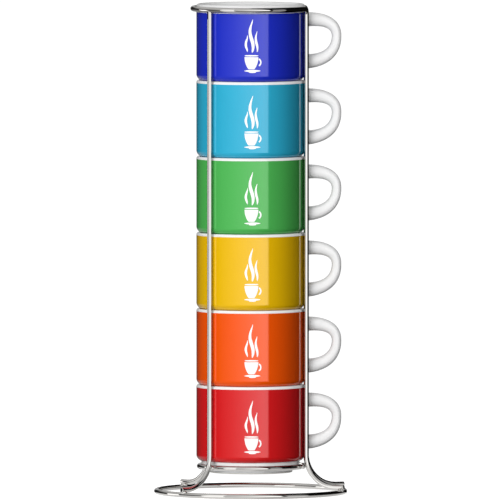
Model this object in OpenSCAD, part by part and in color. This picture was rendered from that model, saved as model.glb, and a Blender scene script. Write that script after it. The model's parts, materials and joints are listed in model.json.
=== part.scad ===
// Six porcelain espresso cups, nested one on another in a bent and welded wire stand.
// Origin: on the table, at the centre of the base ring. The handles point along +X.

/* [Cup] */
// Outside diameter of a cup
cup_od = 62; // [60:0.5:64]
// Height of a cup from its foot to its rim
cup_h = 50.3; // [48:0.1:54]
// Thickness of the wall at the rim
rim_wall = 2.6; // [2.2:0.1:3]
// Thickness of the wall lower down
low_wall = 3.1; // [2.8:0.1:3.6]
// Radius of the round corner at the bottom of the side
corner_r = 3.7; // [3.4:0.1:4]
// Height of the shoulder above the foot's resting face
shoulder_h = 6.4; // [6.2:0.1:7]
// Height of the underside of the centring step
step_h = 4.2; // [3.8:0.1:4.4]
// Diameter of the foot
foot_d = 48; // [44:0.5:50]
// Width of the foot's flat resting face
foot_face = 1.9; // [1.4:0.1:2.4]
// Thickness of the cup's floor
floor_t = 4.4; // [3.6:0.1:5]
// Inside radius between the floor and the wall
inside_r = 9; // [6:0.5:12]

/* [Glaze] */
// Thickness of the coloured glaze
glaze_t = 0.3; // [0.2:0.05:0.5]
// White lip left above the colour on most cups
lip_h = 1.6; // [1.4:0.1:3]
// White lip left above the colour on the top cup
top_lip_h = 4.6; // [1.6:0.1:6]

/* [Handle] */
// Reach of the handle from the cup's side
handle_reach = 20.9; // [18:0.1:22]
// Depth of the handle's top edge below the rim
handle_drop = 4.9; // [4.5:0.1:7]
// Thickness of the handle at its roots
handle_root = 8.5; // [7:0.1:9]
// Thickness of the handle at its outermost point
handle_mid = 5.4; // [4.5:0.1:7]
// Width of the handle across its thickness
handle_w = 8; // [6:0.1:9]

/* [Stand] */
// Diameter of the wire
wire_d = 3; // [2.6:0.1:3.2]
// Room between the cups' sides and the wires
cup_room = 0.4; // [0.4:0.1:1.5]
// Diameter of the base ring at the middle of its wire
base_ring_d = 107.6; // [100:0.2:120]
// Diameter of the rest ring at the middle of its wire
rest_ring_d = 58.4; // [58:0.1:59]
// Height of the lowest cup's foot above the table
foot_clear = 12.4; // [10:0.1:20]
// Angle from +X to each end of the top ring, beside the handles
ring_end_angle = 20.6; // [19:0.1:26]
// Angle from -X to each of the two single uprights
left_angle = 45; // [30:1:60]
// Bend radius where an upright turns out into its leg
leg_bend_r = 18; // [14:0.5:19]
// Distance from the axis to a leg's cut end
leg_reach = 56; // [55:0.1:58]
// Bend radius where the top ring turns down into an upright
ring_bend_r = 3; // [2.5:0.1:4]
// Depth of the top ring's middle below the top cup's rim
ring_drop = 2.7; // [2:0.1:6]

/* [Hidden] */
CUPS = ["red", "orange", "yellow", "green", "turquoise", "blue"];  // from the bottom up
GLAZES = ["#cd1a1d", "#eb5305", "#e8b208", "#49aa50", "#2ca6c8", "#1d2db9"];
PORCELAIN = "#f4f4f1";
CHROME = "#c9ccd0";

$fn = 96;
top_cup = len(CUPS) - 1;
rest_gap = 0.25;     // room left between parts that rest on each other
nest_gap = 0.3;      // room between a cup's centring step and the rim below it
weld_sink = 0.15;    // how far two welded wires sink into each other
slice = 6;           // degrees between two points of a rounded profile

cup_r = cup_od / 2;
rim_r = rim_wall / 2;
wire_r = wire_d / 2;
rim_x = cup_r - rim_r;
rim_z = cup_h - rim_r;
corner_x = cup_r - corner_r;
corner_z = shoulder_h + corner_r;
step_corner_r = 1;
step_r = cup_r - rim_wall - nest_gap;
foot_r = foot_d / 2;
foot_edge_r = 0.6;
foot_fillet_r = 0.8;
recess_r = foot_r - foot_face - foot_edge_r;
recess_h = 3.2;
recess_slope = 1.2;
floor_z = recess_h + floor_t;
low_r = cup_r - low_wall;
low_z = floor_z + inside_r + 3;

// The corner of one cup rests on the rim of the next: the two round sections nearly touch.
nest_h = rim_r + corner_z - sqrt(pow(corner_r + rim_r + rest_gap, 2) - pow(rim_x - corner_x, 2));
pitch = cup_h - nest_h;
// The centring step of the lowest cup rests on the rest ring in the same way.
rest_ring_r = rest_ring_d / 2;
rest_ring_z = foot_clear + step_h + step_corner_r
    - sqrt(pow(step_corner_r + wire_r + rest_gap, 2) - pow(rest_ring_r - step_r + step_corner_r, 2));

ring_r = cup_r + cup_room + wire_r;
base_ring_r = base_ring_d / 2;
leg_z = wire_r + wire_d - weld_sink;
leg_bend_z = leg_z + leg_bend_r;
top_ring_z = foot_clear + top_cup * pitch + cup_h - ring_drop;
ring_bend_z = top_ring_z - ring_bend_r;
// Where a right-hand upright stands: beside the top ring's end, by the radius of the small bend.
right_angle = ring_end_angle - atan(ring_bend_r / ring_r);
right_r = norm([ring_r, ring_bend_r]);
rest_weld_d = 2.6;
base_weld_d = 3.4;
weld_z = wire_d - weld_sink / 2;
ring_end_back = 3;   // degrees by which the rest ring runs past the right-hand uprights

// Points on a round stretch of a profile, from one angle to another about a centre.
function arc(x, z, r, from, to) =
    let (n = max(2, ceil(abs(to - from) / slice)))
    [for (i = [0:n]) let (a = from + (to - from) * i / n) [x + r * cos(a), z + r * sin(a)]];

// Angle on the bottom corner, drawn at radius r, where it meets the centring step.
function corner_start(r) = -acos((step_r - corner_x) / r);

function lip_of(k) = k == top_cup ? top_lip_h : lip_h;

// Half section of a porcelain body, with the shallow recess that the coloured glaze fills.
function body_profile(lip) = let (under_r = corner_r - glaze_t, glaze_top = cup_h - lip) concat(
    [[0, recess_h], [recess_r - recess_slope, recess_h], [recess_r, 0]],
    arc(foot_r - foot_edge_r, foot_edge_r, foot_edge_r, -90, 0),
    arc(foot_r + foot_fillet_r, step_h - foot_fillet_r, foot_fillet_r, 180, 90),
    arc(step_r - step_corner_r, step_h + step_corner_r, step_corner_r, -90, 0),
    arc(corner_x, corner_z, under_r, corner_start(under_r), 0),
    [[cup_r - glaze_t, glaze_top], [cup_r, glaze_top]],
    arc(rim_x, rim_z, rim_r, 0, 180),
    [[low_r, low_z]],
    arc(low_r - inside_r, floor_z + inside_r, inside_r, 0, -90),
    [[0, floor_z]]
);

// Half section of the coloured glaze, from the centring step round the corner and up to the lip.
function glaze_profile(lip) = concat(
    arc(corner_x, corner_z, corner_r, corner_start(corner_r), 0),
    [[cup_r, cup_h - lip], [cup_r - glaze_t, cup_h - lip]],
    arc(corner_x, corner_z, corner_r - glaze_t, 0, corner_start(corner_r - glaze_t))
);

module at_cup(k) translate([0, 0, foot_clear + k * pitch]) children();

module cup_body(k) color(PORCELAIN) at_cup(k) rotate_extrude() polygon(body_profile(lip_of(k)));

module cup_glaze(k) color(GLAZES[k]) at_cup(k) rotate_extrude() polygon(glaze_profile(lip_of(k)));

// The handle's middle line is two cubic curves that meet at its outermost point.
root_x = cup_r - 1.5;
out_x = cup_r + handle_reach - handle_mid / 2;
top_z = cup_h - handle_drop - handle_root / 2;
out_z = cup_h - 18.4;
low_root_z = cup_h - 33;
upper_curve = [[root_x, top_z], [cup_r + 11.6, top_z + 1.2], [out_x, out_z + 7.1], [out_x, out_z]];
lower_curve = [[out_x, out_z], [out_x, out_z - 9.1], [cup_r + 11.5, low_root_z - 0.3],
               [root_x, low_root_z]];
handle_steps = 12;   // stations on each of the two curves
handle_sides = 16;   // points round the section
handle_flare = 1.3;  // how suddenly the handle thickens towards its roots
squareness = 0.8;    // 1 gives an oval section, less gives flatter sides

function cubic(p, t) = pow(1 - t, 3) * p[0] + 3 * t * pow(1 - t, 2) * p[1]
    + 3 * t * t * (1 - t) * p[2] + pow(t, 3) * p[3];
function cubic_way(p, t) = let (d = pow(1 - t, 2) * (p[1] - p[0]) + 2 * t * (1 - t) * (p[2] - p[1])
    + t * t * (p[3] - p[2])) d / norm(d);
function swell(v) = sign(v) * pow(abs(v), squareness);

// One section of the handle, square to its middle line. u runs from 0 at the top root to 1.
function handle_ring(u) =
    let (p = u < 0.5 ? upper_curve : lower_curve, t = u < 0.5 ? 2 * u : 2 * u - 1,
         c = cubic(p, t), w = cubic_way(p, t),
         s = pow(abs(2 * u - 1), handle_flare),
         thick = handle_mid + (handle_root - handle_mid) * s, wide = handle_w + s)
    [for (i = [0:handle_sides - 1]) let (a = 360 * i / handle_sides,
         n = swell(cos(a)) * thick / 2, b = swell(sin(a)) * wide / 2)
        [c[0] - w[1] * n, b, c[1] + w[0] * n]];

module cup_handle(k) {
    stations = 2 * handle_steps;
    points = [for (j = [0:stations]) each handle_ring(j / stations)];
    sides = [for (j = [0:stations - 1], i = [0:handle_sides - 1])
        let (i2 = (i + 1) % handle_sides, a = j * handle_sides, b = a + handle_sides)
        each [[a + i, a + i2, b + i], [a + i2, b + i2, b + i]]];
    first = [for (i = [handle_sides - 1:-1:0]) i];
    last = [for (i = [0:handle_sides - 1]) stations * handle_sides + i];
    color(PORCELAIN) at_cup(k) difference() {
        polyhedron(points, concat(sides, [first, last]));
        cylinder(r = cup_r, h = cup_h);
    }
}

// A round bar along +Z.
module bar(z0, z1) translate([0, 0, z0]) cylinder(d = wire_d, h = z1 - z0);

// A bent wire in the XY plane, from one angle to another.
module bend(r, from, to) rotate([0, 0, from]) rotate_extrude(angle = to - from)
    translate([r, 0]) circle(d = wire_d, $fn = 48);

// The same bend stood up in the XZ plane.
module upright_bend(r, from, to) rotate([90, 0, 0]) bend(r, from, to);

// An upright beside the XZ plane, turned out at the bottom into a leg that lies on the base ring.
module leg(aside, top) translate([ring_r, -aside, 0]) {
    bar(leg_bend_z, top);
    translate([leg_bend_r, 0, leg_bend_z]) upright_bend(leg_bend_r, 180, 270);
    translate([leg_bend_r, 0, leg_z]) rotate([0, 90, 0]) bar(0, leg_reach - ring_r - leg_bend_r);
}

// Half of the long wire: half the top ring, the small bend at its end, the upright and the leg.
module half_ring_wire() rotate([0, 0, ring_end_angle]) {
    translate([0, 0, top_ring_z]) bend(ring_r, 0, 180 - ring_end_angle);
    translate([ring_r, 0, ring_bend_z]) rotate([0, 0, -90]) upright_bend(ring_bend_r, 0, 90);
    leg(ring_bend_r, ring_bend_z);
}

// One wire: leg, upright, round the top and down again into the other upright and leg.
module top_ring_wire() color(CHROME) for (side = [0, 1]) mirror([0, side, 0]) half_ring_wire();

// A single upright, its top end shaped to sit against the underside of the top ring.
module single_leg(angle) color(CHROME) rotate([0, 0, angle]) difference() {
    leg(0, top_ring_z);
    translate([0, 0, top_ring_z]) bend(ring_r, -20, 20);
}
module front_left_leg() single_leg(180 + left_angle);
module back_left_leg() single_leg(180 - left_angle);

// The open ring inside the uprights that the lowest cup rests in. It ends between the right-hand two.
module rest_ring() color(CHROME) translate([0, 0, rest_ring_z])
    bend(rest_ring_r, right_angle - ring_end_back, 360 - right_angle + ring_end_back);

module base_ring() color(CHROME) translate([0, 0, wire_r])
    rotate_extrude($fn = 160) translate([base_ring_r, 0]) circle(d = wire_d, $fn = 48);

// A weld bead: a small ball where two wires meet.
module weld(angle, r, z, d) color(CHROME) rotate([0, 0, angle]) translate([r, 0, z])
    sphere(d = d, $fn = 32);

module rest_ring_welds() for (side = [-1, 1]) {
    weld(side * right_angle, (rest_ring_r + right_r) / 2, rest_ring_z, rest_weld_d);
    weld(180 + side * left_angle, (rest_ring_r + ring_r) / 2, rest_ring_z, rest_weld_d);
}

// The right-hand legs run beside their own radius, so their beads sit beside it too.
module base_ring_welds() for (side = [-1, 1]) {
    weld(side * (ring_end_angle - asin(ring_bend_r / base_ring_r)), base_ring_r, weld_z, base_weld_d);
    weld(180 + side * left_angle, base_ring_r, weld_z, base_weld_d);
}

for (k = [0:top_cup]) {
    cup_body(k);
    cup_glaze(k);
    cup_handle(k);
}
top_ring_wire();
front_left_leg();
back_left_leg();
rest_ring();
base_ring();
rest_ring_welds();
base_ring_welds();
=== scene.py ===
"""Six porcelain espresso cups nested in a chrome wire stand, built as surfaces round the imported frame.

Shape functions work in millimetres and become metres when a mesh is made. A cup's own heights are
measured from the resting face of its foot. Every surface is a function of two parameters on a grid:
a section turned about the axis, or a section carried along a path.
"""
import json
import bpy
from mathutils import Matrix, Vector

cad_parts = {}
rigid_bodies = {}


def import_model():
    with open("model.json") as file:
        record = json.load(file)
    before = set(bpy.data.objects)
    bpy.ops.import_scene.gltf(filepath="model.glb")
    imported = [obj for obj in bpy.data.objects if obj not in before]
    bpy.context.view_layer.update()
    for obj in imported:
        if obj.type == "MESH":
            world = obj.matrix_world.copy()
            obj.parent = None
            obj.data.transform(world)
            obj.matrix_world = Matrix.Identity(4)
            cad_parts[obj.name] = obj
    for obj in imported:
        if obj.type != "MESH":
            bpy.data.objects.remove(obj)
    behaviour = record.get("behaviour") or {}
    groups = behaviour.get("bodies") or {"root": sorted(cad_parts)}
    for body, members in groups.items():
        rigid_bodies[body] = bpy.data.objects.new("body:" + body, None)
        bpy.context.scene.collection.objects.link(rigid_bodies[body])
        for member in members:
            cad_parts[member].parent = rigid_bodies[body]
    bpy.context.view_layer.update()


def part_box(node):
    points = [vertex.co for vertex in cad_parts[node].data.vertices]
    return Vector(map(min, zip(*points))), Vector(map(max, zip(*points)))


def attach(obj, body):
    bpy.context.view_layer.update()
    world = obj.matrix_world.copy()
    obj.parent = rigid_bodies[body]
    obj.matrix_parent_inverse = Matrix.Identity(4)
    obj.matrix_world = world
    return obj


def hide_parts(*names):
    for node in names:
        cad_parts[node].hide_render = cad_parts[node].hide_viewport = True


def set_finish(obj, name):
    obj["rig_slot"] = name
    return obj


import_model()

from types import SimpleNamespace

import bpy
import numpy as np
from bpy.props import FloatProperty, FloatVectorProperty, PointerProperty

bl_info = {
    "name": "Espresso Cup Tower",
    "version": (1, 0, 0),
    "blender": (4, 5, 0),
    "location": "View3D > Sidebar > Cup Tower",
    "description": "Nested porcelain espresso cups and the chrome wire stand that holds them",
    "category": "Add Mesh",
}

MM = 0.001
CUPS = ("red", "orange", "yellow", "green", "turquoise", "blue")  # from the bottom up
# Radiance of the studio round the object, as shares of the brightest, by degrees from the camera (right
# positive): at the height of the object, overhead, and below it.
STUDIO = {
    "level": ((-180, 0.2), (-172, 0.2), (-166, 0.01), (-76, 0.01), (-40, 0.24), (-20, 0.44), (28, 1.0), (36.8, 0.96),
              (39.8, 0.01), (166, 0.0), (172, 0.1), (180, 0.2)),
    "overhead": ((-180, 0.25), (-60, 0.35), (30, 0.35), (42, 0.0), (165, 0.0), (180, 0.2)),
    "below": ((-180, 0.12), (10, 0.12), (30, 0.0), (170, 0.0), (180, 0.12)),
}
STUDIO_STRENGTH = 2.25
# Sines of the elevations between which the level ring gives way to the other two.
OVERHEAD_RISE = (0.22, 0.45)
BELOW_DROP = (-0.1, -0.25)
BACKDROP = 1.05  # strength of the white that only the camera sees
FLOOR_GLOW = (0.45, 0.75)  # the floor's own light, for other rays and for the camera
# Soft panels: azimuth, tilt, distance, width, height, watts, whether they show in reflections, and the only
# material slot that they light.
PANELS = {
    "key_panel": (-29, 8, 1.3, 0.9, 1.2, 13.9, False, None),
    "back_fill": (178, 20, 1.3, 1.0, 1.0, 6, False, None),
    "porcelain_fill": (80, 25, 1.0, 0.8, 0.8, 3.6, False, "porcelain"),
    "wire_card_right": (58, 0, 1.0, 0.5, 1.6, 1.0, True, "chrome_wire"),
    "wire_card_front": (-46, 0, 1.0, 0.5, 1.6, 2.2, True, "chrome_wire"),
    "wire_card_left": (-105, -8, 1.0, 0.4, 0.48, 1.1, True, "chrome_wire"),
    "wire_card_floor": (0, -90, 0.16, 0.3, 0.3, 0.2, True, "chrome_wire"),
}
PANEL_AIM = 0.14  # height of the middle that the panels stand round, in metres
# Lens and sensor in millimetres, tilt in degrees, and the width and the place that it looks at in metres.
CAMERA = {"lens": 1700.0, "sensor": 36.0, "view_width": 0.286, "tilt": 3.0, "aim": (-0.0003, 0.1395)}


# ---------------------------------------------------------------- places and colours

def linear(hex_colour):
    """The linear RGBA of an sRGB hex colour."""
    channels = [int(hex_colour[i:i + 2], 16) / 255 for i in (1, 3, 5)]
    return tuple(c / 12.92 if c <= 0.04045 else ((c + 0.055) / 1.055) ** 2.4 for c in channels) + (1.0,)


def low(node):
    """The lowest corner of a CAD node, in millimetres."""
    return np.array(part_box(node)[0]) / MM


def high(node):
    """The highest corner of a CAD node, in millimetres."""
    return np.array(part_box(node)[1]) / MM


def foot_of(cup):
    """The height of a cup's resting face above the table."""
    return low(cup + "_cup_body")[2]


def lip_edge(sizes, cup):
    """The height on a cup at which its colour gives way to the white lip."""
    return sizes.height - (sizes.top_lip if cup == CUPS[-1] else sizes.lip)


# ---------------------------------------------------------------- shapes

def unit(vectors):
    """Vectors divided by their own lengths."""
    return vectors / np.linalg.norm(vectors, axis=-1, keepdims=True)


def span(start, end):
    """The inner points of a straight side: one close to each end keeps its shading flat, then every 5 mm."""
    length = np.linalg.norm(end - start)
    close = min(0.25, length / 4)
    t = np.linspace(close, length - close, max(2, int(length / 5) + 1))[:, None]
    return start + (end - start) * t / length


def rounded(corners, step=9.0):
    """A half section through corners (x, z, radius), each an arc that touches both of its sides.

    The arc's ends lie radius / tan(half the angle between the sides) from the corner.
    """
    corners = np.array(corners, float)
    points, last = [corners[:1, :2]], corners[0, :2]
    for before, (x, z, radius), after in zip(corners, corners[1:], corners[2:]):
        at = np.array([x, z])
        back, on = unit(before[:2] - at), unit(after[:2] - at)
        half = np.arccos(np.clip(back @ on, -1, 1)) / 2
        start = at + back * radius / np.tan(half)
        centre = at + unit(back + on) * radius / np.sin(half)
        turn = np.linspace(0, np.pi - 2 * half, int(np.degrees(np.pi - 2 * half) / step) + 3)[:, None]
        out = start - centre
        arc = centre + out * np.cos(turn) - back * radius * np.sin(turn)
        points += [span(last, start), arc]
        last = arc[-1]
    points += [span(last, corners[-1, :2]), corners[-1:, :2]]
    return np.concatenate(points)


def skin(grid, wrap_rows=False, start_tip=None, end_tip=None):
    """Quads over a grid of rows, each row a closed loop, with an optional fan from each end row to a tip."""
    rows, columns = grid.shape[:2]
    index = np.arange(rows * columns).reshape(rows, columns)
    index = np.hstack([index, index[:, :1]])
    if wrap_rows:
        index = np.vstack([index, index[:1]])
    quads = np.stack([index[:-1, :-1], index[1:, :-1], index[1:, 1:], index[:-1, 1:]], axis=-1)
    points, faces = [grid.reshape(-1, 3)], quads.reshape(-1, 4).tolist()
    if start_tip is not None:
        tip = np.full(columns, rows * columns)
        faces += np.stack([index[0, :-1], index[0, 1:], tip], axis=-1).tolist()
        points.append(np.array(start_tip, float)[None])
    if end_tip is not None:
        tip = np.full(columns, sum(len(p) for p in points))
        faces += np.stack([index[-1, 1:], index[-1, :-1], tip], axis=-1).tolist()
        points.append(np.array(end_tip, float)[None])
    return np.concatenate(points), faces


def joined(*shapes):
    """Several (points, faces) pairs as one."""
    starts = np.cumsum([0] + [len(points) for points, faces in shapes])
    faces = [[i + start for i in face] for start, (_, part) in zip(starts.tolist(), shapes) for face in part]
    return np.concatenate([points for points, _ in shapes]), faces


def revolved(section, height, segments=160):
    """A half section turned about the axis: (x, z) becomes (x cos a, x sin a, z + height).

    A section that starts and ends on the axis closes at two tips, and any other one closes on itself.
    """
    turn = -2 * np.pi * np.arange(segments) / segments
    tips = {}
    if section[0, 0] == 0 and section[-1, 0] == 0:
        tips = {"start_tip": (0, 0, section[0, 1] + height), "end_tip": (0, 0, section[-1, 1] + height)}
        section = section[1:-1]
    x, z = section[:, :1], section[:, 1:] + height
    grid = np.stack([x * np.cos(turn), x * np.sin(turn), z + 0 * turn], axis=-1)
    return skin(grid, wrap_rows=not tips, **tips)


def line(start, end, normal, step=5.0, last=False):
    """A straight stretch of a wire's middle line, and the direction that its first section point takes."""
    start, end = np.array(start, float), np.array(end, float)
    count = max(2, int(np.linalg.norm(end - start) / step))
    points = start + (end - start) * np.linspace(0, 1, count + 1)[:count + last, None]
    return points, np.tile(np.array(normal, float), (len(points), 1))


def arc(centre, radius, first, second, start, end, normal=None, step=3.0, last=False):
    """A bend: centre + radius (first cos a + second sin a).

    Its section starts away from the centre, or along normal.
    """
    count = max(6, int(abs(end - start) / step))
    a = np.radians(np.linspace(start, end, count + 1)[:count + last, None])
    out = np.array(first, float) * np.cos(a) + np.array(second, float) * np.sin(a)
    normals = out if normal is None else np.tile(np.array(normal, float), (len(a), 1))
    return np.array(centre, float) + radius * out, normals


def spun(path, degrees):
    """A path turned about the axis."""
    c, s = np.cos(np.radians(degrees)), np.sin(np.radians(degrees))
    turn = np.array([[c, s, 0], [-s, c, 0], [0, 0, 1]])
    return path[0] @ turn, path[1] @ turn


def inwards(path):
    """A path with its section started towards the centre of its bend."""
    return path[0], -path[1]


def chained(*paths):
    """Paths one after another."""
    return np.concatenate([p for p, n in paths]), np.concatenate([n for p, n in paths])


def carried(path, radius, sides=40, edge=0.4):
    """A round wire: centre + radius (normal cos b + binormal sin b), its cut ends flat with rounded edges.

    The tangent is the mean of the two unit steps beside each point. At an end the edge is a quarter
    circle: the section moves back by edge (1 - sin q) as its radius shrinks by edge (1 - cos q).
    """
    centres, normals = path
    steps = unit(np.diff(centres, axis=0))
    tangents = unit(np.concatenate([steps[:1], steps]) + np.concatenate([steps, steps[-1:]]))
    binormals = unit(np.cross(tangents, normals))
    normals = np.cross(binormals, tangents)
    q = np.linspace(0, np.pi / 2, 6)[:, None]
    start = centres[0] + tangents[0] * edge * (1 - np.cos(q))
    end = centres[-1] - tangents[-1] * edge * (1 - np.cos(q[::-1]))
    shrink = edge * (1 - np.sin(q))
    centre = np.concatenate([start, centres[1:-1], end])
    size = radius - np.concatenate([shrink, np.zeros((len(centres) - 2, 1)), shrink[::-1]])
    normals = np.concatenate([np.repeat(normals[:1], 6, 0), normals[1:-1], np.repeat(normals[-1:], 6, 0)])
    binormals = np.concatenate([np.repeat(binormals[:1], 6, 0), binormals[1:-1], np.repeat(binormals[-1:], 6, 0)])
    b = -2 * np.pi * np.arange(sides)[None, :, None] / sides
    grid = centre[:, None] + size[:, None] * (normals[:, None] * np.cos(b) + binormals[:, None] * np.sin(b))
    return skin(grid, start_tip=centres[0], end_tip=centres[-1])


def bead(centre, outward, radius, length, ripples):
    """A weld bead: a ball drawn out along its seam, with a row of soft solidified ripples across it.

    radius (sin a cos b, sin a sin b) across and length cos a along, times 1 + 0.05 sin(ripples a).
    """
    outward = unit(np.array(outward, float))
    up = np.array([0.0, 0.0, 1.0])
    across = unit(np.cross(outward, up))
    a = np.linspace(0, np.pi, 26)[1:-1, None, None]
    b = -2 * np.pi * np.arange(24)[None, :, None] / 24
    size = 1 + 0.05 * np.sin(ripples * a)
    grid = np.array(centre) + size * (radius * np.sin(a) * (outward * np.cos(b) + up * np.sin(b))
                                      - length * np.cos(a) * across)
    return skin(grid, start_tip=centre - length * across, end_tip=centre + length * across)


def ribbon(middle, half_width, aside, height, radius, rise=0.07, sink=0.08, sides=20):
    """A closed flat strip bent round the wall: a middle line (across, up) in millimetres with its half width.

    Its section is (half_width cos b, a crown of rise |sin b| ^ 0.4 in front and sink behind), and a place
    (across, up, out) becomes ((radius + out) sin c, -(radius + out) cos c, height + up), c = across / radius.
    """
    steps = unit(np.diff(middle, axis=0))
    way = unit(np.concatenate([steps[:1], steps]) + np.concatenate([steps, steps[-1:]]))
    b = 2 * np.pi * np.arange(sides)[None, :] / sides
    reach = half_width[:, None] * np.cos(b)
    crown = np.abs(np.sin(b)) ** 0.4
    out = radius + np.where(np.sin(b) > 0, rise, -sink) * crown * np.minimum(half_width[:, None] / 0.3, 1)
    across = middle[:, :1] + way[:, 1:] * reach + aside
    up = middle[:, 1:] - way[:, :1] * reach + height
    grid = np.stack([out * np.sin(across / radius), -out * np.cos(across / radius), up], axis=-1)
    return skin(grid, start_tip=grid[0].mean(0), end_tip=grid[-1].mean(0))


# ---------------------------------------------------------------- pieces and materials

def add_piece(name, shape, material, body, slot, *nodes):
    """A smooth mesh object at the origin that rides on a body and stands for its CAD nodes."""
    points, faces = shape
    mesh = bpy.data.meshes.new(name)
    mesh.from_pydata((points * MM).tolist(), [], faces)
    mesh.polygons.foreach_set("use_smooth", np.ones(len(mesh.polygons), bool))
    mesh.materials.append(material)
    mesh.update()
    piece = bpy.data.objects.new(name, mesh)
    bpy.context.scene.collection.objects.link(piece)
    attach(piece, body)
    if nodes:
        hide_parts(*nodes)
    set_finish(piece, slot)
    return piece


def add_node(tree, kind, inputs=None, **settings):
    """Adds a node with its settings, and sets each input to a value or links it from a socket."""
    made = tree.nodes.new(kind)
    for key, value in settings.items():
        setattr(made, key, value)
    for key, value in (inputs or {}).items():
        if isinstance(value, bpy.types.NodeSocket):
            tree.links.new(value, made.inputs[key])
        else:
            made.inputs[key].default_value = value
    return made


def new_material(name, **constants):
    """A material of one Principled shader, with its constants set on the shader's own sockets."""
    material = bpy.data.materials.new(name)
    material.use_nodes = True
    tree = material.node_tree
    tree.nodes.clear()
    shader = add_node(tree, "ShaderNodeBsdfPrincipled", {key.replace("_", " "): v for key, v in constants.items()})
    add_node(tree, "ShaderNodeOutputMaterial", {"Surface": shader.outputs["BSDF"]})
    place = add_node(tree, "ShaderNodeTexCoord").outputs["Object"]
    return material, tree, shader.inputs, place


def per_metre(size):
    """A texture's scale from the size of one of its cells in millimetres."""
    return 1000 / size


def shade(colour, factor):
    """A colour with its channels scaled."""
    return tuple(channel * factor for channel in colour[:3]) + (1.0,)


def glazed_porcelain(fired):
    """Hard-paste porcelain, slip cast, dipped in clear glaze and fired white."""
    material = bpy.data.materials.get("glazed_porcelain")
    if material:
        return material
    material, tree, shader, place = new_material("glazed_porcelain", IOR=1.5)
    # The clear glaze runs a little unevenly, so white reflections waver by less than a hair.
    peel = add_node(tree, "ShaderNodeTexNoise", {"Vector": place, "Scale": per_metre(7), "Detail": 2})
    bump = add_node(tree, "ShaderNodeBump", {"Height": peel.outputs["Fac"], "Strength": 0.08, "Distance": 0.0001})
    # Fired white is never quite one white: it drifts between a warm and a cool tone over a finger's width.
    drift = add_node(tree, "ShaderNodeTexNoise", {"Vector": place, "Scale": per_metre(22), "Detail": 3})
    white = add_node(tree, "ShaderNodeMix", {"Factor": drift.outputs["Fac"], "A": fired,
                                             "B": shade(fired, 0.94)}, data_type="RGBA")
    # The ring that stands in the kiln is wiped bare: dull, faintly grey and fine-grained.
    bare = add_node(tree, "ShaderNodeAttribute", attribute_name="unglazed").outputs["Fac"]
    grit = add_node(tree, "ShaderNodeTexNoise", {"Vector": place, "Scale": per_metre(0.5), "Detail": 4})
    biscuit = add_node(tree, "ShaderNodeMix", {"Factor": grit.outputs["Fac"], "A": linear("#d9d5cd"),
                                               "B": linear("#eceae4")}, data_type="RGBA")
    colour = add_node(tree, "ShaderNodeMix", {"Factor": bare, "A": white.outputs["Result"],
                                              "B": biscuit.outputs["Result"]}, data_type="RGBA")
    dull = add_node(tree, "ShaderNodeMapRange", {"Value": bare, "To Min": 0.09, "To Max": 0.75})
    tree.links.new(colour.outputs["Result"], shader["Base Color"])
    tree.links.new(dull.outputs["Result"], shader["Roughness"])
    tree.links.new(bump.outputs["Normal"], shader["Normal"])
    return material


def coloured_glaze(cup, tint):
    """Coloured glaze over white porcelain, sprayed on and fired: deep colour under a clear wet gloss."""
    material, tree, shader, place = new_material(
        cup + "_glaze", IOR=1.62, Roughness=0.08, Specular_IOR_Level=1.0, Specular_Tint=tint,
        Coat_Weight=1.0, Coat_Roughness=0.02, Coat_IOR=1.5)
    own = add_node(tree, "ShaderNodeMapping", {"Vector": place, "Location": (0, 0, -foot_of(cup) * MM)})
    height = add_node(tree, "ShaderNodeSeparateXYZ", {"Vector": own.outputs["Vector"]}).outputs["Z"]
    # Painted shade: the colour darkens from 9.5 mm down to 6.5 mm above the foot, in the bottom corner just over the
    # rim of the cup below.
    corner_shade = add_node(tree, "ShaderNodeMapRange", {"Value": height, "From Min": 0.0095, "From Max": 0.0065,
                                                 "To Min": 0.0, "To Max": 0.35})
    # Pigment settles in faint clouds a few millimetres across.
    cloud = add_node(tree, "ShaderNodeTexNoise", {"Vector": place, "Scale": per_metre(9), "Detail": 4})
    clouds_and_corner_shade = add_node(tree, "ShaderNodeMath", {0: cloud.outputs["Fac"], 1: 0.12, 2: corner_shade.outputs["Result"]},
                       operation="MULTIPLY_ADD")
    # The darker tint serves both the pigment clouds and the painted shade in the bottom corner.
    mixed = add_node(tree, "ShaderNodeMix", {"Factor": clouds_and_corner_shade.outputs["Value"], "A": tint,
                                             "B": shade(tint, 0.72)}, data_type="RGBA")
    peel = add_node(tree, "ShaderNodeTexNoise", {"Vector": place, "Scale": per_metre(6), "Detail": 2})
    bump = add_node(tree, "ShaderNodeBump", {"Height": peel.outputs["Fac"], "Strength": 0.05, "Distance": 0.0001})
    tree.links.new(mixed.outputs["Result"], shader["Base Color"])
    tree.links.new(bump.outputs["Normal"], shader["Normal"])
    tree.links.new(bump.outputs["Normal"], shader["Coat Normal"])
    return material


def transfer_white(ink):
    """White enamel transfer fired onto the glaze: opaque, slightly raised and less shiny than the glaze."""
    material = bpy.data.materials.get("white_enamel_transfer")
    if material:
        return material
    material, tree, shader, place = new_material("white_enamel_transfer", IOR=1.5)
    # The ink lies in a fine screen, drawn here as coarse as it needs to show.
    screen = add_node(tree, "ShaderNodeTexNoise", {"Vector": place, "Scale": per_metre(0.6), "Detail": 2})
    white = add_node(tree, "ShaderNodeMix", {"Factor": screen.outputs["Fac"], "A": ink,
                                             "B": shade(ink, 0.9)}, data_type="RGBA")
    gloss = add_node(tree, "ShaderNodeMapRange", {"Value": screen.outputs["Fac"], "To Min": 0.2, "To Max": 0.4})
    tree.links.new(white.outputs["Result"], shader["Base Color"])
    tree.links.new(gloss.outputs["Result"], shader["Roughness"])
    return material


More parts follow.
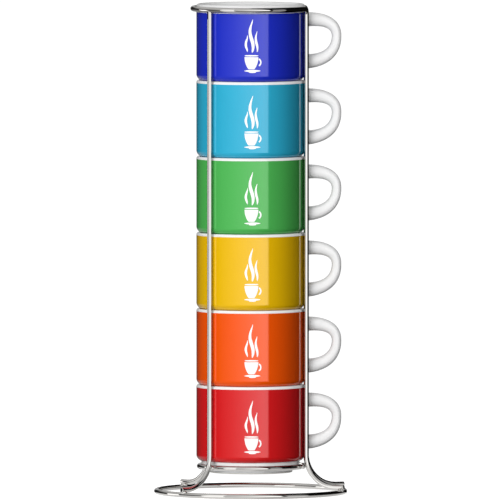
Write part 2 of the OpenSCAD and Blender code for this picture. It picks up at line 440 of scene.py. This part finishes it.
def chrome_plate(plate):
    """Steel wire, drawn, bent, welded and then chrome plated: a bright mirror with a cool cast."""
    material = bpy.data.materials.get("chrome_plated_steel")
    if material:
        return material
    material, tree, shader, place = new_material("chrome_plated_steel", Metallic=1.0)
    # Wiped and handled plate: patches a few millimetres across are a touch less sharp than the rest.
    wiped = add_node(tree, "ShaderNodeTexNoise", {"Vector": place, "Scale": per_metre(5), "Detail": 3})
    gloss = add_node(tree, "ShaderNodeMapRange", {"Value": wiped.outputs["Fac"], "To Min": 0.01, "To Max": 0.03})
    cast = add_node(tree, "ShaderNodeMix", {"Factor": wiped.outputs["Fac"], "A": plate,
                                            "B": shade(plate, 0.91)}, data_type="RGBA")
    tree.links.new(cast.outputs["Result"], shader["Base Color"])
    tree.links.new(gloss.outputs["Result"], shader["Roughness"])
    return material


# ---------------------------------------------------------------- what a user would change

def length(name, millimetres, description):
    """A length that a user can change, kept in metres."""
    return FloatProperty(name=name, description=description, default=millimetres * MM, min=0, unit="LENGTH",
                         precision=5)


def angle(name, degrees, description):
    """An angle that a user can change, kept in radians."""
    return FloatProperty(name=name, description=description, default=np.radians(degrees), subtype="ANGLE")


def colour(name, hex_colour, description):
    """A colour that a user can change, kept linear."""
    return FloatVectorProperty(name=name, description=description, default=linear(hex_colour), size=4,
                               min=0, max=1, subtype="COLOR")


def plain(group):
    """A group's sizes, with its lengths in millimetres and its angles in degrees."""
    scale = {"LENGTH": 1 / MM, "ROTATION": 180 / np.pi}
    kinds, keys = group.bl_rna.properties, type(group).__annotations__
    return SimpleNamespace(**{key: getattr(group, key) * scale[kinds[key].unit] for key in keys})


class CupSizes(bpy.types.PropertyGroup):
    """The half section of one cup."""
    radius: length("Outside radius", 31.0, "From the axis to the coloured wall")
    height: length("Height", 50.3, "From the foot's resting face to the rim")
    rim_wall: length("Rim wall", 2.6, "Thickness of the wall at the rounded rim")
    low_wall: length("Lower wall", 3.1, "Thickness of the wall near the floor")
    foot_radius: length("Foot radius", 24.0, "Outside radius of the foot ring")
    foot_face: length("Foot face", 2.5, "From the foot's outside to its recess, at the resting face")
    recess: length("Recess", 3.2, "Height of the hollow under the foot")
    recess_slope: length("Recess slope", 1.2, "How much narrower the hollow is at its top")
    step_radius: length("Step radius", 28.1, "Radius of the centring step")
    step: length("Step height", 4.2, "Height of the underside of the centring step")
    corner: length("Bottom corner", 3.7, "Radius of the coloured bottom corner")
    shoulder: length("Shoulder", 6.4, "Height at which the coloured corner starts")
    floor: length("Inside floor", 7.6, "Height of the floor inside")
    inside: length("Inside corner", 9.0, "Radius between the floor and the wall")
    lip: length("White lip", 1.6, "White left above the colour")
    top_lip: length("Top cup's lip", 4.6, "White left above the colour on the top cup")
    glaze: length("Glaze", 0.35, "From the coloured surface to the body under it")


class HandleSizes(bpy.types.PropertyGroup):
    """The ear handle of one cup."""
    root: length("Root thickness", 8.5, "Thickness where it meets the wall")
    middle: length("Middle thickness", 5.4, "Thickness at its outermost point")
    width: length("Width", 8.0, "Width across its thickness")
    fillet: length("Root fillet", 1.6, "Radius of the clay worked into the corner")
    top_drop: length("Upper root", 4.9, "From the rim down to the handle's top edge")
    outer_drop: length("Outermost point", 18.4, "From the rim down to the handle's outermost point")
    low_drop: length("Lower root", 33.0, "From the rim down to the middle of the lower root")


class WireSizes(bpy.types.PropertyGroup):
    """The wires of the stand."""
    radius: length("Wire radius", 1.5, "Half the thickness of every wire")
    leg_bend: length("Leg bend", 18.0, "Radius where an upright turns out")
    ring_bend: length("Ring bend", 3.0, "Radius where the top ring turns down")
    reach: length("Leg reach", 56.0, "From the axis to a leg's cut end")
    ring_end: angle("Ring end", 20.6, "From the middle of the handles to the top ring's end")
    left: angle("Left uprights", 45.0, "From the side away from the handles to an upright")


class Colours(bpy.types.PropertyGroup):
    """The colours of the finishes."""
    red: colour("Red glaze", "#cd1a1d", "Bottom cup")
    orange: colour("Orange glaze", "#eb5305", "Second cup")
    yellow: colour("Yellow glaze", "#e4b406", "Third cup")
    green: colour("Green glaze", "#49aa50", "Fourth cup")
    turquoise: colour("Turquoise glaze", "#2ca6c8", "Fifth cup")
    blue: colour("Blue glaze", "#1d2db9", "Top cup")
    porcelain: colour("Porcelain", "#e4e4e4", "Bodies and handles under clear glaze")
    transfer: colour("Transfer", "#fafafa", "Ink of the printed motifs")
    chrome: colour("Chrome", "#cccac7", "Plate on every wire")
    floor: colour("Floor", "#f2f2f2", "Disc that the tower stands on")


class StageSizes(bpy.types.PropertyGroup):
    """The stage."""
    floor_radius: length("Floor radius", 160.0, "Radius of the disc that the tower stands on")


class Tower(bpy.types.PropertyGroup):
    """Everything that can be set."""
    cup: PointerProperty(type=CupSizes)
    handle: PointerProperty(type=HandleSizes)
    wire: PointerProperty(type=WireSizes)
    colours: PointerProperty(type=Colours)
    stage: PointerProperty(type=StageSizes)


# ---------------------------------------------------------------- operators

class TOWER_OT_porcelain(bpy.types.Operator):
    """White porcelain body of every cup"""
    bl_idname = "tower.porcelain"
    bl_label = "Porcelain bodies"

    def execute(self, context):
        c, colours = plain(context.scene.tower.cup), context.scene.tower.colours
        inner = c.radius - c.rim_wall
        under, ledge = c.radius - c.glaze, c.shoulder + 0.9
        hollow = c.foot_radius - c.foot_face
        lip_radius, lip_round = c.radius - 0.02, c.rim_wall / 2 - 0.02
        for cup in CUPS:
            edge = lip_edge(c, cup)
            # From the axis under the foot, out and up the side, over the rim and down to the floor inside;
            # each corner is its radius from the axis, its height and its rounding.
            section = rounded([
                (0, c.recess, 0), (hollow - c.recess_slope, c.recess, 0.9), (hollow, 0, 0.5),
                (c.foot_radius, 0, 0.6), (c.foot_radius, c.step, 0.8),
                (c.step_radius, c.step, 1.0), (c.step_radius, ledge, 0.3),
                (under, ledge, 2.2), (under, edge - 0.3, 0.1),
                (lip_radius, edge, 0.1), (lip_radius, c.height, lip_round), (inner, c.height, lip_round),
                (c.radius - c.low_wall, c.floor, c.inside), (0, c.floor, 0)])
            piece = add_piece(cup + "_cup_porcelain", revolved(section, foot_of(cup)),
                              glazed_porcelain(colours.porcelain), cup + "_cup", "porcelain", cup + "_cup_body")
            points = np.empty(len(piece.data.vertices) * 3)
            piece.data.vertices.foreach_get("co", points)
            x, y, z = points.reshape(-1, 3).T / MM
            # Bare below 0.45 mm, glazed above 0.75 mm, and always glazed in the middle of the hollow.
            bare = np.clip((0.75 - (z - foot_of(cup))) / 0.3, 0, 1) * (np.hypot(x, y) > hollow - 1.5)
            piece.data.attributes.new("unglazed", "FLOAT", "POINT").data.foreach_set("value", bare)
        return {"FINISHED"}


class TOWER_OT_colour(bpy.types.Operator):
    """Band of coloured glaze round every cup"""
    bl_idname = "tower.colour"
    bl_label = "Coloured bands"

    def execute(self, context):
        c, colours = plain(context.scene.tower.cup), context.scene.tower.colours
        centre_x, centre_z = c.radius - c.corner, c.shoulder + c.corner
        # The bottom corner: an arc from just outside the centring step up to the wall.
        first = -np.arccos((c.step_radius + 0.02 - centre_x) / c.corner)
        a = np.linspace(first, 0, 14)[:, None]
        corner = np.hstack([centre_x + c.corner * np.cos(a), centre_z + c.corner * np.sin(a)])
        # The upper edge of the glaze rolls over a quarter circle, and its back lies inside the body.
        end, hidden = 0.18, c.radius - 0.5
        q = np.linspace(0, np.pi / 2, 6)[:, None]
        for cup in CUPS:
            edge = lip_edge(c, cup)
            wall = span(corner[-1], np.array([c.radius, edge - end]))
            roll = np.hstack([c.radius - end + end * np.cos(q), edge - end + end * np.sin(q)])
            back = np.array([[hidden, edge], [hidden, centre_z], [c.step_radius - 0.1, c.shoulder + 0.8]])
            section = np.concatenate([corner, wall, roll, back])
            glaze = coloured_glaze(cup, tuple(getattr(colours, cup)))
            add_piece(cup + "_cup_colour", revolved(section, foot_of(cup)), glaze,
                      cup + "_cup", cup + "_glaze", cup + "_cup_glaze")
        return {"FINISHED"}


class TOWER_OT_motif(bpy.types.Operator):
    """White steaming cup printed on the front of every cup"""
    bl_idname = "tower.motif"
    bl_label = "Printed motifs"

    def execute(self, context):
        c, colours = plain(context.scene.tower.cup), context.scene.tower.colours
        t = np.linspace(0, 1, 33)

        def stroke(x, y, width):
            return np.stack([x + 0 * t, y + 0 * t], axis=1), width + 0 * t

        ends = np.sqrt(np.maximum(1 - (2 * t - 1) ** 2, 0.004))
        turn = np.radians(62 - 124 * t)
        strokes = [
            # Saucer: a long lens, flat on top.
            stroke(9.4 * t - 4.7, 0.75, 0.62 * ends ** 1.3),
            stroke(4.2 * t - 2.1, 0.0, 0.42 * ends),
            # Bowl: half width swells from the foot to the rim as a quarter of an oval.
            stroke(-0.55, 1.7 + 6.9 * t, 1.5 + 2.5 * np.sin(np.pi / 2 * t) ** 0.7),
            # Rim: a lens over the bowl, parted from it by a thin line of colour.
            stroke(7.9 * t - 4.5, 9.4, 0.42 * ends ** 0.7),
            # Ear: a bow on the right side of the bowl.
            stroke(2.75 + 2.05 * np.cos(turn), 5.6 + 2.2 * np.sin(turn), 0.42),
            # Three wisps of steam: sine waves whose width swells and dies away.
            stroke(-0.5 + 0.9 * np.sin(2 * np.pi * (t * 1.1 + 0.05)), 11.0 + 19.2 * t,
                   0.92 * np.sin(np.pi * t ** 0.7) ** 0.8 + 0.06),
            stroke(-3.3 + 0.5 * np.sin(2 * np.pi * (t + 0.3)), 11.6 + 9.5 * t,
                   0.62 * np.sin(np.pi * t ** 0.8) ** 0.8 + 0.05),
            stroke(2.4 + 0.5 * np.sin(2 * np.pi * (t + 0.1)), 11.4 + 12.0 * t,
                   0.66 * np.sin(np.pi * t ** 0.8) ** 0.8 + 0.05),
        ]
        aside, bottom = 1.1, 12.4  # where the motif's own zero lies: right of the front, and above the foot
        for cup in CUPS:
            shapes = [ribbon(middle, width, aside, foot_of(cup) + bottom, c.radius) for middle, width in strokes]
            add_piece(cup + "_cup_motif", joined(*shapes), transfer_white(colours.transfer), cup + "_cup", "porcelain")
        return {"FINISHED"}


class TOWER_OT_handles(bpy.types.Operator):
    """White porcelain handle of every cup"""
    bl_idname = "tower.handles"
    bl_label = "Handles"

    def execute(self, context):
        tower = context.scene.tower
        c, h = plain(tower.cup), plain(tower.handle)
        top_z = c.height - h.top_drop - h.root / 2
        out_z, low_z = c.height - h.outer_drop, c.height - h.low_drop
        root_x = c.radius - 1.5  # both ends are hidden in the wall
        # Where each curve's inner control points lie: out from the wall and up from its root, and up from the
        # outermost point.
        upper_out, upper_rise, upper_pull = 11.6, 1.2, 7.1
        lower_out, lower_rise, lower_pull = 11.5, -0.3, -9.1
        for cup in CUPS:
            node = cup + "_cup_handle"
            foot = foot_of(cup)
            out_x = high(node)[0] - h.middle / 2
            ways = [np.array([(root_x, top_z), (c.radius + upper_out, top_z + upper_rise),
                              (out_x, out_z + upper_pull), (out_x, out_z)]),
                    np.array([(out_x, out_z), (out_x, out_z + lower_pull),
                              (c.radius + lower_out, low_z + lower_rise), (root_x, low_z)])]
            # The middle line is two cubic curves; stations crowd towards the roots, where the fillets are.
            t = np.linspace(0, 1, 61)[:, None] ** 1.6
            t = [t, 1 - t[::-1]]
            lines, tangents = [], []
            for p, s in zip(ways, t):
                r = 1 - s
                lines.append(r ** 3 * p[0] + 3 * s * r ** 2 * p[1] + 3 * s * s * r * p[2] + s ** 3 * p[3])
                tangents.append(unit(r ** 2 * (p[1] - p[0]) + 2 * s * r * (p[2] - p[1]) + s * s * (p[3] - p[2])))
            middle = np.concatenate([lines[0], lines[1][1:]])
            tangent = np.concatenate([tangents[0], tangents[1][1:]])
            u = np.concatenate([t[0] / 2, 0.5 + t[1][1:] / 2])
            swell = np.abs(2 * u - 1) ** 1.3  # 1 at both roots, 0 at the outermost point
            thick, wide = h.middle + (h.root - h.middle) * swell, h.width + swell
            # Near the wall the section grows by the profile of a quarter circle: the worked-in fillet.
            gap = np.clip(h.fillet - (middle[:, :1] - c.radius), 0, h.fillet)
            grow = h.fillet - np.sqrt(np.maximum(h.fillet ** 2 - gap ** 2, 0))
            # The section is a rounded oval: both of its circle functions are raised to a power below 1.
            b, power = 2 * np.pi * np.arange(56) / 56, 0.8
            n = np.sign(np.cos(b)) * np.abs(np.cos(b)) ** power * (thick / 2 + grow)
            w = np.sign(np.sin(b)) * np.abs(np.sin(b)) ** power * (wide / 2 + grow)
            grid = np.stack([middle[:, :1] - tangent[:, 1:] * n, w, foot + middle[:, 1:] + tangent[:, :1] * n],
                            axis=-1)
            tips = [(p[0], 0, foot + p[1]) for p in (middle[0], middle[-1])]
            ear = add_piece(cup + "_cup_ear", skin(grid, start_tip=tips[0], end_tip=tips[1]),
                            glazed_porcelain(tower.colours.porcelain), cup + "_cup", "porcelain", node)
            # Shot as through a polarising filter: no white ghost of the handle in the colour beside it.
            ear.visible_glossy = False
        return {"FINISHED"}


class TOWER_OT_stand(bpy.types.Operator):
    """Chrome wires, rings and welds of the stand"""
    bl_idname = "tower.stand"
    bl_label = "Wire stand"

    def execute(self, context):
        w = plain(context.scene.tower.wire)
        chrome = chrome_plate(context.scene.tower.colours.chrome)
        ring_z = high("top_ring_wire")[2] - w.radius
        ring_r = -low("top_ring_wire")[0] - w.radius
        leg_z = low("top_ring_wire")[2] + w.radius

        def leg(aside, top, last=False):
            return chained(
                line((w.reach, -aside, leg_z), (ring_r + w.leg_bend, -aside, leg_z), (0, 0, -1)),
                arc((ring_r + w.leg_bend, -aside, leg_z + w.leg_bend), w.leg_bend, (1, 0, 0), (0, 0, 1), -90, -180),
                line((ring_r, -aside, leg_z + w.leg_bend), (ring_r, -aside, top), (-1, 0, 0), last=last))

        bend_z = ring_z - w.ring_bend
        half = spun(chained(
            leg(w.ring_bend, bend_z),
            arc((ring_r, 0, bend_z), w.ring_bend, (0, -1, 0), (0, 0, 1), 0, 90, normal=(-1, 0, 0), step=9),
            inwards(arc((0, 0, ring_z), ring_r, (1, 0, 0), (0, 1, 0), 0, 180 - w.ring_end))), w.ring_end)
        across = np.array([1, -1, 1])
        middle = (np.array([[-ring_r, 0, ring_z]]), np.array([[1.0, 0, 0]]))
        whole = chained(half, middle, (half[0][::-1] * across, half[1][::-1] * across))
        add_piece("ring_wire", carried(whole, w.radius), chrome, "stand", "chrome_wire", "top_ring_wire")

        butt = 0.6  # the left uprights end this far under the top ring's middle line, inside the ring
        for node, angle in (("front_left_leg", 180 + w.left), ("back_left_leg", 180 - w.left)):
            upright = spun(leg(0, ring_z - butt, last=True), angle)
            add_piece(node + "_wire", carried(upright, w.radius), chrome, "stand", "chrome_wire", node)

        rest_z = (low("rest_ring")[2] + high("rest_ring")[2]) / 2
        rest_r = -low("rest_ring")[0] - w.radius
        right = w.ring_end - np.degrees(np.arctan(w.ring_bend / ring_r))
        end = right - 3  # the open rest ring runs 3 degrees past the right uprights
        rest = arc((0, 0, rest_z), rest_r, (1, 0, 0), (0, 1, 0), end, 360 - end, last=True)
        add_piece("rest_wire", carried(rest, w.radius), chrome, "stand", "chrome_wire", "rest_ring")

        base_r = high("base_ring")[0] - w.radius
        b = -2 * np.pi * np.arange(40)[:, None] / 40
        section = np.hstack([base_r + w.radius * np.cos(-b), w.radius + w.radius * np.sin(-b)])
        add_piece("base_wire", revolved(section, 0, segments=288), chrome, "stand", "chrome_wire", "base_ring")

        angles = [right, -right, 180 + w.left, 180 - w.left]
        radii = [(rest_r + np.hypot(ring_r, w.ring_bend)) / 2] * 2 + [(rest_r + ring_r) / 2] * 2
        beads = []
        for degrees, r in zip(angles, radii):
            way = np.array([np.cos(np.radians(degrees)), np.sin(np.radians(degrees)), 0])
            beads.append(bead(way * r + (0, 0, rest_z), way, radius=1.3, length=1.5, ripples=7))
        add_piece("rest_beads", joined(*beads), chrome, "stand", "chrome_wire", "rest_ring_welds")

        beads = []
        base_right = w.ring_end - np.degrees(np.arcsin(w.ring_bend / base_r))
        seam_z = 2 * w.radius - 0.075  # where the legs sink into the ring under them
        for degrees in (base_right, -base_right, 180 + w.left, 180 - w.left):
            way = np.array([np.cos(np.radians(degrees)), np.sin(np.radians(degrees)), 0])
            beads.append(bead(way * base_r + (0, 0, seam_z), way, radius=1.7, length=1.9, ripples=7))
        add_piece("base_beads", joined(*beads), chrome, "stand", "chrome_wire", "base_ring_welds")
        return {"FINISHED"}


class TOWER_OT_stage(bpy.types.Operator):
    """Pale floor, soft studio light and camera"""
    bl_idname = "tower.stage"
    bl_label = "Stage"

    def execute(self, context):
        scene = context.scene
        scene.view_settings.view_transform = "Standard"
        # Floor: a plain white disc, which glows for the camera so that its edge is lost in the backdrop.
        tower = scene.tower
        under = 0.02  # the disc lies this far under the tower's resting plane, in millimetres
        r = plain(tower.stage).floor_radius * np.array([0.0001, 0.6, 1.0])[:, None]
        turn = 2 * np.pi * np.arange(96) / 96
        grid = np.stack([r * np.cos(turn), r * np.sin(turn), 0 * r * turn - under], axis=-1)
        points, faces = skin(grid)
        mesh = bpy.data.meshes.new("floor")
        mesh.from_pydata((points * MM).tolist(), [], faces)
        material, tree, shader, _ = new_material("matt_white_acrylic", Roughness=0.6)
        shader["Base Color"].default_value = tower.colours.floor
        shader["Emission Color"].default_value = (1, 1, 1, 1)
        seen = add_node(tree, "ShaderNodeLightPath").outputs["Is Camera Ray"]
        glow = add_node(tree, "ShaderNodeMapRange", {"Value": seen, "To Min": FLOOR_GLOW[0], "To Max": FLOOR_GLOW[1]})
        tree.links.new(glow.outputs["Result"], shader["Emission Strength"])
        mesh.materials.append(material)
        floor = bpy.data.objects.new("floor", mesh)
        scene.collection.objects.link(floor)
        floor.visible_diffuse = floor.visible_glossy = floor.visible_shadow = False

        # Studio: what the glaze and the chrome mirror, by azimuth from the camera (right positive).
        world = bpy.data.worlds.new("studio")
        scene.world = world
        world.use_nodes = True
        tree = world.node_tree
        tree.nodes.clear()
        way = add_node(tree, "ShaderNodeTexCoord").outputs["Generated"]
        parts = add_node(tree, "ShaderNodeSeparateXYZ", {"Vector": way}).outputs
        toward = add_node(tree, "ShaderNodeMath", {0: parts["Y"], 1: -1.0}, operation="MULTIPLY")
        azimuth = add_node(tree, "ShaderNodeMath", {0: parts["X"], 1: toward.outputs["Value"]}, operation="ARCTAN2")
        turn = add_node(tree, "ShaderNodeMapRange", {"Value": azimuth.outputs["Value"], "From Min": -np.pi,
                                                     "From Max": np.pi}).outputs["Result"]
        ramps = {}
        for name, stops in STUDIO.items():
            ramp = add_node(tree, "ShaderNodeValToRGB", {"Fac": turn})
            ramps[name] = ramp.outputs["Color"]
            stops = [((a + 180) / 360, v) for a, v in stops]
            for i, (where, value) in enumerate(stops):
                element = ramp.color_ramp.elements[i] if i < 2 else ramp.color_ramp.elements.new(where)
                element.position = where
                element.color = (value, value, value, 1)
        lift = add_node(tree, "ShaderNodeMapRange", {"Value": parts["Z"], "From Min": OVERHEAD_RISE[0],
                                                     "From Max": OVERHEAD_RISE[1]})
        sides = add_node(tree, "ShaderNodeMix", {"Factor": lift.outputs["Result"], "A": ramps["level"],
                                                 "B": ramps["overhead"]}, data_type="RGBA")
        drop = add_node(tree, "ShaderNodeMapRange", {"Value": parts["Z"], "From Min": BELOW_DROP[0],
                                                     "From Max": BELOW_DROP[1]})
        studio = add_node(tree, "ShaderNodeMix", {"Factor": drop.outputs["Result"], "A": sides.outputs["Result"],
                                                  "B": ramps["below"]}, data_type="RGBA")
        seen = add_node(tree, "ShaderNodeLightPath").outputs["Is Camera Ray"]
        lit = add_node(tree, "ShaderNodeBackground", {"Color": studio.outputs["Result"], "Strength": STUDIO_STRENGTH})
        white = add_node(tree, "ShaderNodeBackground", {"Color": (1, 1, 1, 1), "Strength": BACKDROP})
        shown = add_node(tree, "ShaderNodeMixShader", {0: seen, 1: lit.outputs["Background"],
                                                       2: white.outputs["Background"]})
        add_node(tree, "ShaderNodeOutputWorld", {"Surface": shown.outputs["Shader"]})

        for name, (azimuth, tilt, distance, wide, tall, watts, glossy, receivers) in PANELS.items():
            panel = bpy.data.lights.new(name, "AREA")
            panel.shape = "RECTANGLE"
            panel.size, panel.size_y, panel.energy = wide, tall, watts
            light = bpy.data.objects.new(name, panel)
            a, e = np.radians(azimuth), np.radians(tilt)
            light.location = (distance * np.sin(a) * np.cos(e), -distance * np.cos(a) * np.cos(e),
                              PANEL_AIM + distance * np.sin(e))
            light.rotation_euler = (np.pi / 2 - e, 0, a)
            light.visible_camera, light.visible_glossy = False, glossy
            scene.collection.objects.link(light)
            if receivers:
                chosen = bpy.data.collections.new(name + "_receivers")
                for piece in scene.objects:
                    if piece.get("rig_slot") == receivers:
                        chosen.objects.link(piece)
                light.light_linking.receiver_collection = chosen

        # A long lens far away, for nearly parallel sides, that looks down a little at the middle of the tower.
        tilt = np.radians(CAMERA["tilt"])
        distance = CAMERA["view_width"] * CAMERA["lens"] / CAMERA["sensor"]
        data = bpy.data.cameras.new("camera")
        data.lens, data.sensor_width, data.clip_end = CAMERA["lens"], CAMERA["sensor"], 50
        camera = bpy.data.objects.new("camera", data)
        aim_x, aim_z = CAMERA["aim"]
        camera.location = (aim_x, -distance * np.cos(tilt), aim_z + distance * np.sin(tilt))
        camera.rotation_euler = (np.pi / 2 - tilt, 0, 0)
        scene.collection.objects.link(camera)
        scene.camera = camera
        return {"FINISHED"}


STEPS = (TOWER_OT_porcelain, TOWER_OT_colour, TOWER_OT_motif, TOWER_OT_handles, TOWER_OT_stand, TOWER_OT_stage)


class TOWER_PT_panel(bpy.types.Panel):
    """Lists the sizes and the steps"""
    bl_idname = "TOWER_PT_panel"
    bl_label = "Cup Tower"
    bl_space_type = "VIEW_3D"
    bl_region_type = "UI"
    bl_category = "Cup Tower"

    def draw(self, context):
        tower = context.scene.tower
        for group in Tower.__annotations__:
            box = self.layout.box()
            settings = getattr(tower, group)
            for key in type(settings).__annotations__:
                box.prop(settings, key)
        for step in STEPS:
            self.layout.operator(step.bl_idname)


CLASSES = (CupSizes, HandleSizes, WireSizes, Colours, StageSizes, Tower) + STEPS + (TOWER_PT_panel,)


def register():
    for made in CLASSES:
        bpy.utils.register_class(made)
    bpy.types.Scene.tower = PointerProperty(type=Tower)


def unregister():
    del bpy.types.Scene.tower
    for made in reversed(CLASSES):
        bpy.utils.unregister_class(made)


def main():
    """Makes every piece and the stage."""
    register()
    for step in STEPS:
        group, name = step.bl_idname.split(".")
        getattr(getattr(bpy.ops, group), name)()


if __name__ == "__main__":
    main()
